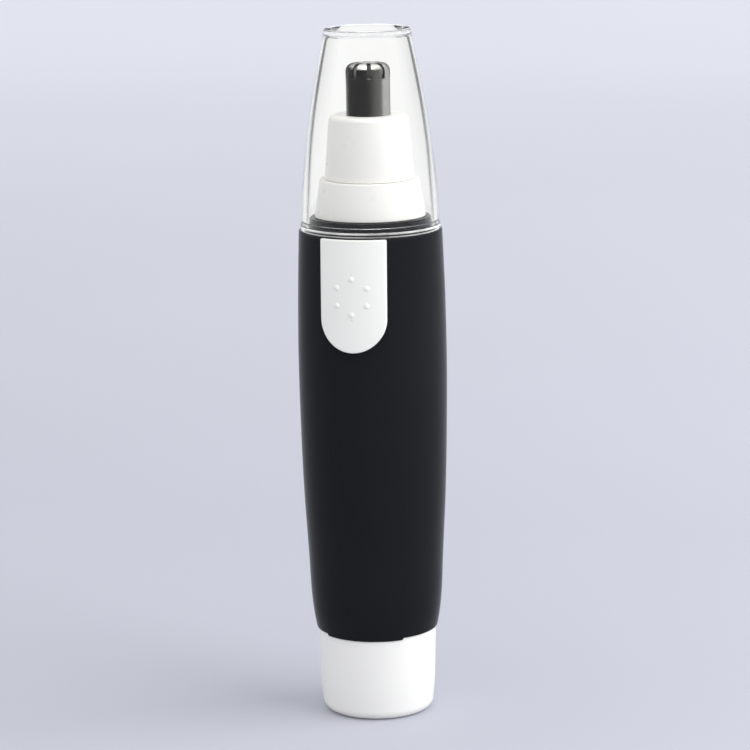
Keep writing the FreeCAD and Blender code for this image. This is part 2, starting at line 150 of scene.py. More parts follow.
def rounded(points, steps=5):
    """Closed outline; a point with a third value is a corner rounded to that radius."""
    out = []
    count = len(points)
    for i, point in enumerate(points):
        if len(point) == 2:
            out.append((point[0], point[1]))
            continue
        here = Vector(point[:2])
        back = (Vector(points[i - 1][:2]) - here).normalized()
        ahead = (Vector(points[(i + 1) % count][:2]) - here).normalized()
        half = back.angle(ahead) / 2
        centre = here + (back + ahead).normalized() * point[2] / math.sin(half)
        first = here + back * point[2] / math.tan(half) - centre
        last = here + ahead * point[2] / math.tan(half) - centre
        total = first.angle(last)
        for k in range(steps + 1):
            t = k / steps
            spoke = (first * math.sin((1 - t) * total) + last * math.sin(t * total)) / math.sin(total)
            out.append(tuple(centre + spoke))
    return out


def lathe_into(bm, outline, steps, shift=None):
    """Turns a closed (radius, height) outline about Z. shift(radius, height, degrees) may move a height."""
    rings = []
    for r, z in outline:
        if r < 1e-6:
            rings.append([bm.verts.new((0, 0, z * MM))])
            continue
        ring = []
        for k in range(steps):
            angle = 2 * math.pi * k / steps
            height = z + (shift(r, z, math.degrees(angle)) if shift else 0.0)
            ring.append(bm.verts.new((r * math.cos(angle) * MM, r * math.sin(angle) * MM, height * MM)))
        rings.append(ring)
    for low, high in zip(rings, rings[1:] + rings[:1]):
        for k in range(steps):
            n = (k + 1) % steps
            corners = [low[k % len(low)], low[n % len(low)], high[n % len(high)], high[k % len(high)]]
            corners = list(dict.fromkeys(corners))
            if len(corners) > 2:
                bm.faces.new(corners)


def loft_into(bm, rings, closed=True):
    """Skins rings of vertices with equal counts; a closed one gets a face at each end."""
    count = len(rings[0])
    for a, b in zip(rings, rings[1:]):
        for k in range(count):
            n = (k + 1) % count
            bm.faces.new([a[k], a[n], b[n], b[k]])
    if closed:
        bm.faces.new(rings[0][::-1])
        bm.faces.new(rings[-1])


def block_into(bm, r0, r1, z0, z1, middle, sweep, steps=6):
    """Closed block between two radii and two heights that spans an angle."""
    sections = []
    for k in range(steps + 1):
        angle = math.radians(middle + sweep * (k / steps - 0.5))
        x = math.cos(angle) * MM
        y = math.sin(angle) * MM
        corners = [(r0, z0), (r1, z0), (r1, z1), (r0, z1)]
        sections.append([bm.verts.new((r * x, r * y, z * MM)) for r, z in corners])
    loft_into(bm, sections)


def box_into(bm, low, high):
    made = bmesh.ops.create_cube(bm, size=1.0)
    for v in made["verts"]:
        v.co = Vector([(low[i] + high[i]) / 2 + v.co[i] * (high[i] - low[i]) for i in range(3)]) * MM


def shade(obj, sharp):
    """Smooth shading except at edges sharper than the angle."""
    obj.data.shade_smooth()
    obj.data.set_sharp_from_angle(angle=math.radians(sharp))


def piece_from(bm, name, sharp=30.0):
    """Makes an object of the mesh."""
    bmesh.ops.recalc_face_normals(bm, faces=bm.faces)
    mesh = bpy.data.meshes.new(name)
    bm.to_mesh(mesh)
    bm.free()
    obj = bpy.data.objects.new(name, mesh)
    shade(obj, sharp)
    bpy.context.scene.collection.objects.link(obj)
    return obj


def cut(obj, cutter):
    """Subtracts cutter from obj and removes it."""
    tool = obj.modifiers.new("cut", "BOOLEAN")
    tool.operation = "DIFFERENCE"
    tool.solver = "EXACT"
    tool.object = cutter
    graph = bpy.context.evaluated_depsgraph_get()
    mesh = bpy.data.meshes.new_from_object(obj.evaluated_get(graph))
    obj.modifiers.remove(tool)
    obj.data = mesh
    bpy.data.objects.remove(cutter)


def seam_shift(top_z):
    """Lowers the seam's edge over the key under the slider."""
    def shift(r, z, degrees):
        away = abs((degrees - FRONT + 180) % 360 - 180)
        near_seam = abs(z - top_z) < 0.45 and r > BORE_R - 0.4
        return -TONGUE_DROP if near_seam and away < TONGUE_HALF else 0.0
    return shift


# ---------------------------------------------------------------- shader nodes

def feed(tree, value, node, name):
    """Links a socket to a node's input, or sets the input to a plain value or colour."""
    if isinstance(value, bpy.types.NodeSocket):
        tree.links.new(value, node.inputs[name])
    elif isinstance(value, tuple) and len(node.inputs[name].default_value) == 4:
        node.inputs[name].default_value = (*value, 1)
    else:
        node.inputs[name].default_value = value


def add(tree, kind, **settings):
    """New node. A setting is an input's value or socket, or else a property of the node."""
    node = tree.nodes.new("ShaderNode" + kind)
    for key, value in settings.items():
        name = key.replace("_", " ")
        if name in node.inputs:
            feed(tree, value, node, name)
        else:
            setattr(node, key, value)
    return node


def new_material(name):
    mat = bpy.data.materials.new(name)
    mat.use_nodes = True
    tree = mat.node_tree
    return mat, tree, tree.nodes["Principled BSDF"]


def place(tree, stretch=(1.0, 1.0, 1.0)):
    """Object coordinates, stretched for grain that runs one way."""
    coords = add(tree, "TexCoord")
    mapping = add(tree, "Mapping", Vector=coords.outputs["Object"])
    mapping.inputs["Scale"].default_value = stretch
    return mapping.outputs["Vector"]


def noise(tree, where, scale, detail=3.0, rough=0.5):
    return add(tree, "TexNoise", Vector=where, Scale=scale, Detail=detail, Roughness=rough).outputs["Fac"]


def spread(tree, value, low, high, from_low=0.3, from_high=0.7):
    """Maps a range of values to another, clamped at both ends. The default is where noise mostly lies."""
    node = add(tree, "MapRange", Value=value, From_Min=from_low, From_Max=from_high, To_Min=low, To_Max=high)
    return node.outputs["Result"]


def number(tree, operation, first, second=None):
    """Sum, product, larger and the like of two numbers or sockets."""
    node = add(tree, "Math", operation=operation)
    feed(tree, first, node, 0)
    if second is not None:
        feed(tree, second, node, 1)
    return node.outputs["Value"]


def vector(tree, operation, first, second=None, out="Vector"):
    """The same for vectors. out is Value for a result that is a plain number."""
    node = add(tree, "VectorMath", operation=operation)
    tree.links.new(first, node.inputs[0])
    if isinstance(second, tuple):
        node.inputs[1].default_value = second
    elif second is not None:
        tree.links.new(second, node.inputs[1])
    return node.outputs[out]


def scaled(tree, colour, factor):
    node = add(tree, "VectorMath", operation="SCALE")
    tree.links.new(colour, node.inputs[0])
    tree.links.new(factor, node.inputs["Scale"])
    return node.outputs["Vector"]


def tint(tree, factor, first, second):
    """Mixes two colours, each a colour or a socket."""
    mix = add(tree, "Mix", data_type="RGBA")
    feed(tree, factor, mix, 0)
    feed(tree, first, mix, 6)
    feed(tree, second, mix, 7)
    return mix.outputs[2]


def blend(tree, factor, first, second):
    """Mixes two shaders."""
    mix = add(tree, "MixShader")
    tree.links.new(factor, mix.inputs[0])
    tree.links.new(first, mix.inputs[1])
    tree.links.new(second, mix.inputs[2])
    return mix.outputs[0]


def bump(tree, bsdf, height, depth_mm, strength):
    node = add(tree, "Bump", Strength=strength, Distance=depth_mm * MM, Height=height)
    feed(tree, node.outputs["Normal"], bsdf, "Normal")
    return node


def facing(tree, geometry):
    """Cosine of the angle between the surface's normal and the line of sight."""
    return vector(tree, "DOT_PRODUCT", geometry.outputs["Incoming"], geometry.outputs["Normal"], "Value")


def axis_part(tree, source, axis):
    """One coordinate of a vector."""
    return add(tree, "SeparateXYZ", Vector=source).outputs[axis]


# ---------------------------------------------------------------- materials

def plastic(name, colour, dark, roughness, grain=2600.0, depth=0.004, specular=0.45, coat=0.0,
            edge_specular=None):
    """Moulded plastic: slow colour drift, uneven polish, fine grain, and edges rubbed a little lighter."""
    mat, tree, bsdf = new_material(name)
    where = place(tree)
    geometry = add(tree, "NewGeometry")
    drift = spread(tree, noise(tree, where, 45.0, 2.0), 0.0, 1.0)
    worn = spread(tree, geometry.outputs["Pointiness"], 0.0, 0.35, 0.52, 0.62)
    lighter = tuple(min(1.0, c * 1.12 + 0.01) for c in colour)
    feed(tree, tint(tree, worn, tint(tree, drift, colour, dark), lighter), bsdf, "Base Color")
    polish = noise(tree, where, 260.0, 5.0, 0.6)
    feed(tree, spread(tree, polish, roughness * 0.85, roughness * 1.2), bsdf, "Roughness")
    bump(tree, bsdf, noise(tree, where, grain, 2.0), depth, 0.35)
    shine = specular
    if edge_specular is not None:
        shine = spread(tree, facing(tree, geometry), edge_specular, specular, 0.0, 0.7)
    feed(tree, shine, bsdf, "Specular IOR Level")
    feed(tree, coat, bsdf, "Coat Weight")
    feed(tree, 0.08, bsdf, "Coat Roughness")
    return mat


def metal(name, colour, dark, roughness, stretch=(1.0, 1.0, 1.0), grain=900.0, depth=0.002):
    """Metal with a directional grain and patches of slight tarnish."""
    mat, tree, bsdf = new_material(name)
    scratches = noise(tree, place(tree, stretch), grain, 4.0, 0.6)
    patches = spread(tree, noise(tree, place(tree), 160.0, 3.0), 0.0, 1.0)
    feed(tree, tint(tree, patches, colour, dark), bsdf, "Base Color")
    feed(tree, spread(tree, scratches, roughness * 0.75, roughness * 1.3), bsdf, "Roughness")
    bump(tree, bsdf, scratches, depth, 0.5)
    feed(tree, 1.0, bsdf, "Metallic")
    return mat


def mirror_steel(name, roughness):
    """Polished turned steel whose colour stands in for a mirror image of a studio.

    The colour follows the mirrored direction: a dark side, a bright side and a bright ceiling.
    """
    mat, tree, bsdf = new_material(name)
    bright_side = math.radians(35.0)
    ceiling = (0.85, 0.83, 0.77)
    greys = [(0.2, 0.015), (0.4, 0.03), (0.6, 0.08), (0.795, 0.12), (0.87, 0.15), (0.93, 0.29),
             (0.975, 0.45)]
    rings = add(tree, "TexWave", bands_direction="Z", Scale=650.0, Distortion=1.0, Detail=2.0,
                Vector=place(tree)).outputs["Fac"]
    scratches = noise(tree, place(tree, (1.0, 1.0, 8.0)), 1200.0, 4.0, 0.6)
    ridge = add(tree, "Bump", Strength=0.6, Distance=0.008 * MM, Height=rings)
    fine = bump(tree, bsdf, scratches, 0.001, 0.5)
    feed(tree, ridge.outputs["Normal"], fine, "Normal")
    incoming = add(tree, "NewGeometry").outputs["Incoming"]
    mirrored = vector(tree, "REFLECT", incoming, fine.outputs["Normal"])
    flat = vector(tree, "MULTIPLY", mirrored, (-1.0, -1.0, 0.0))
    toward = (math.cos(bright_side), math.sin(bright_side), 0.0)
    side = vector(tree, "DOT_PRODUCT", vector(tree, "NORMALIZE", flat), toward, "Value")
    ramp = add(tree, "ValToRGB", Fac=spread(tree, side, 0.0, 1.0, -1.0, 1.0))
    elements = ramp.color_ramp.elements
    for k, (spot, grey) in enumerate(greys):
        element = elements[k] if k < 2 else elements.new(spot)
        element.position = spot
        element.color = (grey, grey, grey * 0.98, 1)
    above = spread(tree, axis_part(tree, mirrored, "Z"), 1.0, 0.0, -0.85, -0.35)
    image = tint(tree, above, ramp.outputs["Color"], ceiling)
    feed(tree, scaled(tree, image, spread(tree, rings, 0.8, 1.15, 0.0, 1.0)), bsdf, "Base Color")
    feed(tree, spread(tree, scratches, roughness * 0.75, roughness * 1.3), bsdf, "Roughness")
    feed(tree, 1.0, bsdf, "Metallic")
    return mat


def painted_shade_line(tree, where):
    """Share of painted shade: a thin dark line where the inner wall of a clear shell turns edge-on, with
    softer painted shade beside it.

    The line fades down the shell, and is left out on faces that aren't part of the inner wall.
    """
    geometry = add(tree, "NewGeometry")
    critical = math.sqrt(1 - 1 / CLEAR_INDEX ** 2)
    cosine = facing(tree, geometry)
    rise = spread(tree, cosine, 0.0, 1.0, critical - 0.022, critical - 0.006)
    fall = spread(tree, cosine, 0.8, 0.0, critical + 0.010, critical + 0.032)
    # soft is the weaker painted shade beside the dark line
    soft = spread(tree, cosine, 0.22, 0.0, critical, 0.9)
    near = number(tree, "MULTIPLY", rise, number(tree, "MAXIMUM", fall, soft))
    outward = vector(tree, "MULTIPLY", geometry.outputs["Position"], (1.0, 1.0, 0.0))
    unit = vector(tree, "NORMALIZE", outward)
    side = vector(tree, "DOT_PRODUCT", unit, geometry.outputs["Normal"], "Value")
    on_wall = number(tree, "MULTIPLY", near, spread(tree, side, 0.0, 1.0, 0.85, 0.95))
    inside = number(tree, "MULTIPLY", on_wall, geometry.outputs["Backfacing"])
    height = axis_part(tree, where, "Z")
    fade = spread(tree, height, 0.1, 1.0, NECK_TOP_Z * MM, SLOT_LOW * MM)
    return number(tree, "MULTIPLY", inside, fade)


def painted_highlight_share(tree, where):
    """Share of painted highlight, drawn as a pale matte band on the edges of the clear cover's lip and rim,
    uneven along the rings.
    """
    height = axis_part(tree, where, "Z")
    uneven = spread(tree, noise(tree, place(tree, (1.0, 1.0, 0.2)), 180.0, 3.0), 0.2, 0.6)
    total = 0.0
    for low, high in PAINTED_HIGHLIGHT_RINGS:
        middle = (low + high) / 2 * MM
        half = (high - low) / 2 * MM
        away = number(tree, "ABSOLUTE", number(tree, "SUBTRACT", height, middle))
        total = number(tree, "ADD", total, spread(tree, away, 1.0, 0.0, half * 0.6, half))
    outside = number(tree, "SUBTRACT", 1.0, add(tree, "NewGeometry").outputs["Backfacing"])
    return number(tree, "MULTIPLY", number(tree, "MULTIPLY", total, uneven), outside)


def clear_plastic(name):
    """Clear moulded plastic that refracts and reflects, with a dark line of painted shade and pale matte
    rings of painted highlight drawn in.

    Shadow and diffuse rays go straight through, and so does every ray at the outermost outline.
    """
    mat, tree, bsdf = new_material(name)
    where = place(tree)
    feed(tree, spread(tree, noise(tree, where, 300.0, 4.0), 0.0, 0.03), bsdf, "Roughness")
    bump(tree, bsdf, noise(tree, place(tree, (1.0, 1.0, 0.15)), 120.0, 2.0), 0.01, 0.3)
    feed(tree, (0.985, 0.99, 0.99), bsdf, "Base Color")
    feed(tree, CLEAR_INDEX, bsdf, "IOR")
    feed(tree, (0.25, 0.25, 0.25), bsdf, "Specular Tint")
    feed(tree, 1.0, bsdf, "Transmission Weight")
    # pale matte diffuse that carries the painted highlight lines on the lip and rim
    pale_highlight_bsdf = add(tree, "BsdfDiffuse", Roughness=0.4, Color=(0.78, 0.78, 0.76)).outputs[0]
    # dark: near-black matte surface that carries the painted shade of the edge line
    dark = add(tree, "BsdfDiffuse", Color=(0.03, 0.03, 0.03)).outputs[0]
    through = add(tree, "BsdfTransparent", Color=(0.97, 0.975, 0.98)).outputs[0]
    highlight_mixed = blend(tree, painted_highlight_share(tree, where), bsdf.outputs[0], pale_highlight_bsdf)
    shade_lined = blend(tree, painted_shade_line(tree, where), highlight_mixed, dark)
    path = add(tree, "LightPath")
    soft_light = number(tree, "MAXIMUM", path.outputs["Is Shadow Ray"], path.outputs["Is Diffuse Ray"])
    outline = spread(tree, facing(tree, add(tree, "NewGeometry")), 1.0, 0.0, 0.1, 0.3)
    surface = blend(tree, number(tree, "MAXIMUM", soft_light, outline), shade_lined, through)
    feed(tree, surface, tree.nodes["Material Output"], "Surface")
    return mat


GLOSS_BLACK = plastic("gloss_black_moulding", (0.0042, 0.0044, 0.0052), (0.0034, 0.0036, 0.0044), 0.2,
                      grain=700.0, depth=0.003, specular=0.14, edge_specular=0.02)
WHITE_SATIN = plastic("white_moulding", (0.82, 0.82, 0.79), (0.80, 0.80, 0.77), 0.34, specular=0.4)
WHITE_HEAD = plastic("white_head_moulding", (0.83, 0.81, 0.765), (0.81, 0.79, 0.745), 0.3, specular=0.4)
WHITE_FOOT = plastic("white_foot_moulding", (0.82, 0.815, 0.79), (0.80, 0.795, 0.77), 0.32, specular=0.4)
DARK_PLASTIC = plastic("chassis_moulding", (0.045, 0.046, 0.05), (0.035, 0.036, 0.04), 0.5, depth=0.01)
NYLON = plastic("natural_nylon", (0.62, 0.59, 0.52), (0.55, 0.52, 0.46), 0.42, depth=0.006)
ACETAL = plastic("natural_acetal", (0.7, 0.7, 0.67), (0.64, 0.64, 0.6), 0.36)
CARBON = plastic("pressed_carbon", (0.03, 0.029, 0.028), (0.018, 0.018, 0.018), 0.6,
                 grain=4000.0, depth=0.02)
WASHER = plastic("insulating_paper", (0.66, 0.64, 0.58), (0.58, 0.56, 0.5), 0.75,
                 grain=3500.0, depth=0.02)
SLEEVE = plastic("cell_sleeve", (0.05, 0.12, 0.32), (0.035, 0.09, 0.26), 0.25, depth=0.003, coat=0.4)
FERRITE = plastic("ferrite", (0.05, 0.048, 0.047), (0.03, 0.03, 0.03), 0.65, grain=3000.0, depth=0.02)
CLEAR = clear_plastic("clear_moulding")
GUARD_STEEL = mirror_steel("polished_steel", 0.2)
# darker steel for the slots' walls and lower ends: painted shade in the slots
SLOT_SHADE_STEEL = metal("slot_shade_steel", (0.15, 0.15, 0.145), (0.1, 0.1, 0.1), 0.35)
STEEL = metal("plain_steel", (0.56, 0.56, 0.55), (0.44, 0.44, 0.44), 0.3, (1.0, 1.0, 6.0))
PLATED = metal("nickel_plate", (0.66, 0.65, 0.62), (0.55, 0.54, 0.51), 0.22)
ZINC = metal("zinc_plate", (0.5, 0.51, 0.52), (0.4, 0.41, 0.43), 0.34, (1.0, 1.0, 0.2), 700.0)
BRASS = metal("brass_strip", (0.72, 0.53, 0.25), (0.58, 0.4, 0.18), 0.28, (1.0, 1.0, 0.1), 1200.0)
BRONZE = metal("sintered_bronze", (0.5, 0.33, 0.17), (0.38, 0.25, 0.13), 0.45, grain=3000.0, depth=0.01)
COPPER = metal("copper_wire", (0.72, 0.3, 0.14), (0.5, 0.18, 0.08), 0.28, (1.0, 1.0, 14.0), 500.0, 0.05)
LAMINATE = metal("laminations", (0.36, 0.36, 0.37), (0.24, 0.24, 0.25), 0.4, (0.1, 0.1, 10.0), 450.0, 0.03)

NODE_MATERIALS = {
    "switch_bridge": BRASS, "negative_strip": BRASS, "motor_strip": BRASS, "positive_contact": BRASS,
    "motor_terminals": BRASS, "cap_contact": PLATED, "battery_spring": PLATED, "cell_nub": PLATED,
    "cell_can": STEEL, "motor_shaft": STEEL, "blade_spring": STEEL, "inner_blade": STEEL,
    "cell_jacket": SLEEVE, "cell_seal": WASHER, "inner_chassis": DARK_PLASTIC,
    "motor_can": ZINC, "motor_end_cap": NYLON, "motor_brushes": CARBON, "motor_magnets": FERRITE,
    "motor_bush_lower": BRONZE, "motor_bush_upper": BRONZE, "armature_core": LAMINATE,
    "armature_windings": COPPER, "commutator": COPPER, "drive_coupling": ACETAL, "blade_carrier": ACETAL,
}
for node_name, finish in NODE_MATERIALS.items():
    node_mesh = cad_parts[node_name].data
    node_mesh.materials.clear()
    node_mesh.materials.append(finish)


def finish_piece(obj, mat, body, node):
    """Gives a piece its material, lets it ride on its body, and has it stand in for a CAD node."""
    obj.data.materials.clear()
    obj.data.materials.append(mat)
    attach(obj, body)
    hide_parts(node)


# ---------------------------------------------------------------- barrel

def make_barrel():
    """Bulging tube with a collar and a neck on top, a slot for the slider's stem, and ribs inside."""
    top_wall = SHOULDER_Z - WALL_T
    inner_top_r = 12.2
    inner_low_z = 24.0
    shaft_hole_r = 4.5
    outer = curve_points(barrel_radius, SEAM_Z + 0.9, SHOULDER_Z - 0.7, 60)
    inner = [(barrel_radius(z) - WALL_T, z) for z in (86, 71, 58, 42, 30)]
    outline = rounded(
        [(BORE_R, SEAM_Z), (EDGE_R - 0.02, SEAM_Z, 0.22)] + outer
        + [(SHOULDER_R, SHOULDER_Z, 0.25), (COLLAR_R, SHOULDER_Z), (COLLAR_R, COLLAR_TOP_Z, 0.15),
           (NECK_R, COLLAR_TOP_Z), (NECK_R, NECK_TOP_Z, 0.3), (NECK_BORE_R, NECK_TOP_Z, 0.15),
           (NECK_BORE_R, SHOULDER_Z), (shaft_hole_r, SHOULDER_Z, 0.1), (shaft_hole_r, top_wall, 0.1),
           (inner_top_r, top_wall)]
        + inner + [(BORE_R, inner_low_z)])
    bm = bmesh.new()
    lathe_into(bm, outline, 240, seam_shift(SEAM_Z))
    obj = piece_from(bm, "barrel_shell", 35)
    slot = bmesh.new()
    slot_half = STEM_HALF + STEM_GAP
    slot_low = STEM_LOW - SLIDER_TRAVEL - STEM_GAP
    box_into(slot, (-slot_half, -15.0, slot_low), (slot_half, -11.0, STEM_TOP + STEM_GAP))
    cut(obj, piece_from(slot, "slot_tool"))
    ribs = bmesh.new()
    ribs.from_mesh(obj.data)
    for k in range(RIBS):
        block_into(ribs, BORE_R, 12.6, inner_low_z + 0.1, top_wall - 0.1, 360.0 / RIBS * k, 5.0, 2)
    ribs.to_mesh(obj.data)
    ribs.free()
    shade(obj, 35)
    finish_piece(obj, GLOSS_BLACK, "housing", "body_shell")
    return obj


def make_lower_tier():
    """White ring that stands on the neck and holds the nozzle."""
    top_wall = TIER_Z - WALL_T
    foot = SHOULDER_Z + GAP
    step = NECK_TOP_Z + GAP
    inner_r = 8.75
    spigot_r = 10.15
    hole_r = 6.3
    outline = rounded([(inner_r, foot), (spigot_r, foot, 0.1), (spigot_r, step), (10.74, step, 0.12),
                       (9.66, TIER_Z, 0.32), (hole_r, TIER_Z, 0.1), (hole_r, top_wall), (8.3, top_wall),
                       (inner_r, top_wall - 1.2)])
    bm = bmesh.new()
    lathe_into(bm, outline, 192)
    obj = piece_from(bm, "head_lower_tier")
    finish_piece(obj, WHITE_HEAD, "housing", "head_base")
    return obj


# ---------------------------------------------------------------- clear cover

def make_cover():
    """Clear bullet-shaped shell: stepped lip at its foot, thin wall, thick flat top with a shallow dish."""
    foot = SHOULDER_Z + GAP
    socket_r = COLLAR_R + GAP
    lip_r = 13.7
    lip_top = foot + 1.1
    side_low = 97.7
    side_top = COVER_TOP_Z - 0.6
    dish = COVER_TOP_Z - 0.18
    ceiling = COVER_TOP_Z - 1.15
    inner_r = 12.3
    inner_low = 98.5
    inner_top = ceiling - 0.5
    outside = natural_spline([(13.45, side_low), (13.4, 99.7), (13.18, 103.7), (12.4, 111.5), (11.05, 121.1),
                              (9.55, 128.8), (8.55, side_top)])
    inside = natural_spline([(inner_r, inner_low), (12.12, 101.8), (11.63, 109.5), (10.77, 117.3),
                             (9.53, 124.9), (7.85, inner_top)])
    outline = rounded(
        [(socket_r, foot, 0.1), (lip_r, foot, 0.3), (lip_r, lip_top, 0.3), (13.4, lip_top + 0.05)]
        + curve_points(outside, side_low, side_top, 44)
        + [(8.43, COVER_TOP_Z, 0.38), (7.72, COVER_TOP_Z, 0.14), (7.55, dish, 0.1), (0, dish), (0, ceiling),
           (7.62, ceiling, 0.3)]
        + curve_points(inside, inner_top, inner_low, 40)
        + [(inner_r, SOCKET_TOP_Z, 0.1), (socket_r, SOCKET_TOP_Z, 0.1)])
    bm = bmesh.new()
    lathe_into(bm, outline, 256)
    obj = piece_from(bm, "clear_cover")
    finish_piece(obj, CLEAR, "cap", "clear_cap")
    return obj


# ---------------------------------------------------------------- thumb slider

def corner_points(x, z, radius, first, steps):
    """Quarter circle about (x, z) that starts at the angle first."""
    angles = [math.radians(first + 90 * k / steps) for k in range(steps + 1)]
    return [(x + radius * math.cos(a), z + radius * math.sin(a)) for a in angles]


def slider_outline(inset, arc=48, side=12, corner=4):
    """Outline of the slider pulled in by inset: half-round below, square with small corners above."""
    half = SLIDER_W / 2 - inset
    mid = SLIDER_LOW + SLIDER_W / 2
    top = SLIDER_TOP - inset
    small = max(0.35 - inset, 0.02)
    across = half - small
    straight_top = top - small
    points = [(half, mid + (straight_top - mid) * k / side) for k in range(side)]
    points += corner_points(across, straight_top, small, 0, corner)
    points += [(across * (1 - 2 * k / side), top) for k in range(1, side)]
    points += corner_points(-across, straight_top, small, 90, corner)
    points += [(-half, straight_top + (mid - straight_top) * k / side) for k in range(1, side)]
    for k in range(arc):
        a = math.pi + math.pi * k / arc
        points.append((half * math.cos(a), mid + half * math.sin(a)))
    return points


def on_barrel(x, z, offset):
    """Point of the barrel's front, moved out by offset."""
    r = barrel_radius(z) + offset
    return Vector((x, -math.sqrt(r * r - x * x), z)) * MM


def dot_into(bm, base, out, radius=0.5, height=0.28, spokes=20):
    """Small raised dot with a soft foot, drawn as shares of its radius and height."""
    side = out.cross(Vector((0, 0, 1)))
    up = out.cross(side)
    outline = [(1.25, -0.12), (1.0, 0.12), (0.88, 0.45), (0.68, 0.74), (0.4, 0.93), (0.15, 0.99)]
    rings = []
    for share, rise in outline:
        ring = []
        for k in range(spokes):
            a = 2 * math.pi * k / spokes
            spot = base + (side * math.cos(a) + up * math.sin(a)) * share * radius * MM
            ring.append(bm.verts.new(spot + out * rise * height * MM))
        rings.append(ring)
    loft_into(bm, rings)


def make_slider():
    """Thin curved plate on the barrel with a rounded edge, a stem behind it and six dots in front."""
    top = SLIDER_GAP + SLIDER_T
    edge_r = 0.26
    edge_steps = 6
    insets = (0.5, 0.9, 1.4, 2.0, 2.7, 3.5, 4.4, 5.3, 6.1, 6.55)
    levels = [(inset, SLIDER_GAP) for inset in reversed(insets)]
    levels += [(0.0, SLIDER_GAP), (0.0, top - edge_r)]
    for k in range(1, edge_steps + 1):
        a = math.pi / 2 * k / edge_steps
        levels.append((edge_r * (1 - math.cos(a)), top - edge_r + edge_r * math.sin(a)))
    levels += [(inset, top) for inset in insets]
    bm = bmesh.new()
    rings = []
    for inset, offset in levels:
        rings.append([bm.verts.new(on_barrel(x, z, offset)) for x, z in slider_outline(inset)])
    loft_into(bm, rings)
    stem_front = barrel_radius((STEM_LOW + STEM_TOP) / 2) + 0.3
    box_into(bm, (-STEM_HALF, -stem_front, STEM_LOW), (STEM_HALF, -NECK_BORE_R, STEM_TOP))
    for k in range(DOTS):
        angle = math.radians(90 + 360.0 / DOTS * k)
        base = on_barrel(DOT_RING_R * math.cos(angle), DOTS_Z + DOT_RING_R * math.sin(angle), top)
        dot_into(bm, base, Vector((base.x, base.y, 0)).normalized())
    obj = piece_from(bm, "thumb_slider", 40)
    finish_piece(obj, WHITE_SATIN, "switch", "switch_slider")


# ---------------------------------------------------------------- foot cap

def make_foot():
    """White cup with a rounded bottom edge and a spigot that pushes into the barrel, guides inside."""
    top = SEAM_Z - GAP
    flat_r = 8.9
    round_r = 2.03
    rim_r = 11.62
    spigot_r = 10.3
    spigot_top = 21.4
    well_r = 9.0
    bottom_t = 2.0
    guides = 4
    side = natural_spline([(flat_r + round_r, round_r), (11.22, 5.0), (11.44, 10.0), (rim_r, top)])
    bottom = [(0, 0), (flat_r, 0)]
    for k in range(1, 10):
        a = math.radians(90 * k / 10)
        bottom.append((flat_r + round_r * math.sin(a), round_r * (1 - math.cos(a))))
    outline = rounded(
        bottom + curve_points(side, round_r, top - 0.5, 14)
        + [(rim_r, top, 0.18), (spigot_r, top), (spigot_r, spigot_top, 0.3), (well_r, spigot_top, 0.15),
           (well_r, bottom_t), (0, bottom_t)])
    bm = bmesh.new()
    lathe_into(bm, outline, 240, seam_shift(top))
    for k in range(guides):
        block_into(bm, 7.35, well_r + 0.1, bottom_t - 0.1, 18.0, 45 + 360.0 / guides * k, 8.0, 3)
    obj = piece_from(bm, "foot_cap", 35)
    finish_piece(obj, WHITE_FOOT, "battery_unit", "battery_cap")


# ---------------------------------------------------------------- cutter head

def make_nozzle():
    """White tapered nozzle with an inner tube, and two lugs that turn into the lower tier."""
    low = TIER_Z + GAP
    tube_r = 6.2
    hollow_top = 115.6
    bore_r = 5.0
    hole_r = 4.3
    seat = 108.85
    outline = rounded([(bore_r, NOZZLE_FOOT_Z), (tube_r, NOZZLE_FOOT_Z), (tube_r, hollow_top),
                       (6.6, hollow_top), (7.5, low), (8.7, low, 0.1), (7.66, NOZZLE_TOP_Z, 0.95),
                       (hole_r, NOZZLE_TOP_Z, 0.12), (hole_r, seat), (bore_r, seat)])
    bm = bmesh.new()
    lathe_into(bm, outline, 192)
    for middle in (0, 180):
        block_into(bm, tube_r - 0.1, 7.3, NOZZLE_FOOT_Z, NOZZLE_FOOT_Z + 1.4, middle, 34.0)
    obj = piece_from(bm, "nozzle", 35)
    finish_piece(obj, WHITE_HEAD, "cutter_head", "cutter_nozzle")


def slots_into(bm, low_slope=0.55):
    """Radial boxes round the guard's dome; their lower sides slope down and outwards."""
    length = 4.0
    mouth_r = GUARD_R - 0.35
    for k in range(SLOTS):
        angle = math.radians(FRONT + SLOT_TURN + 360.0 / SLOTS * k)
        out = Vector((math.cos(angle), math.sin(angle), 0))
        side = Vector((-math.sin(angle), math.cos(angle), 0))
        made = bmesh.ops.create_cube(bm, size=1.0)
        for v in made["verts"]:
            reach = SLOT_R + (v.co.x + 0.5) * length
            low = SLOT_LOW + (mouth_r - reach) * low_slope
            height = low if v.co.z < 0 else GUARD_TOP_Z + 1
            v.co = (out * reach + side * v.co.y * SLOT_W + Vector((0, 0, height))) * MM


def mark_slots(obj):
    """Gives the slots' walls and lower ends a darker steel, as painted shade in the slots."""
    obj.data.materials.append(SLOT_SHADE_STEEL)
    for face in obj.data.polygons:
        middle = face.center / MM
        around = Vector((-middle.y, middle.x, 0)).normalized()
        wall = abs(face.normal.dot(around)) > 0.5
        inside = middle.z < GUARD_TOP_Z - GUARD_ROUND and middle.xy.length < GUARD_R
        low_end = inside and face.normal.z > 0.3
        if middle.z > SLOT_LOW - 0.2 and (wall or low_end):
            face.material_index = 1


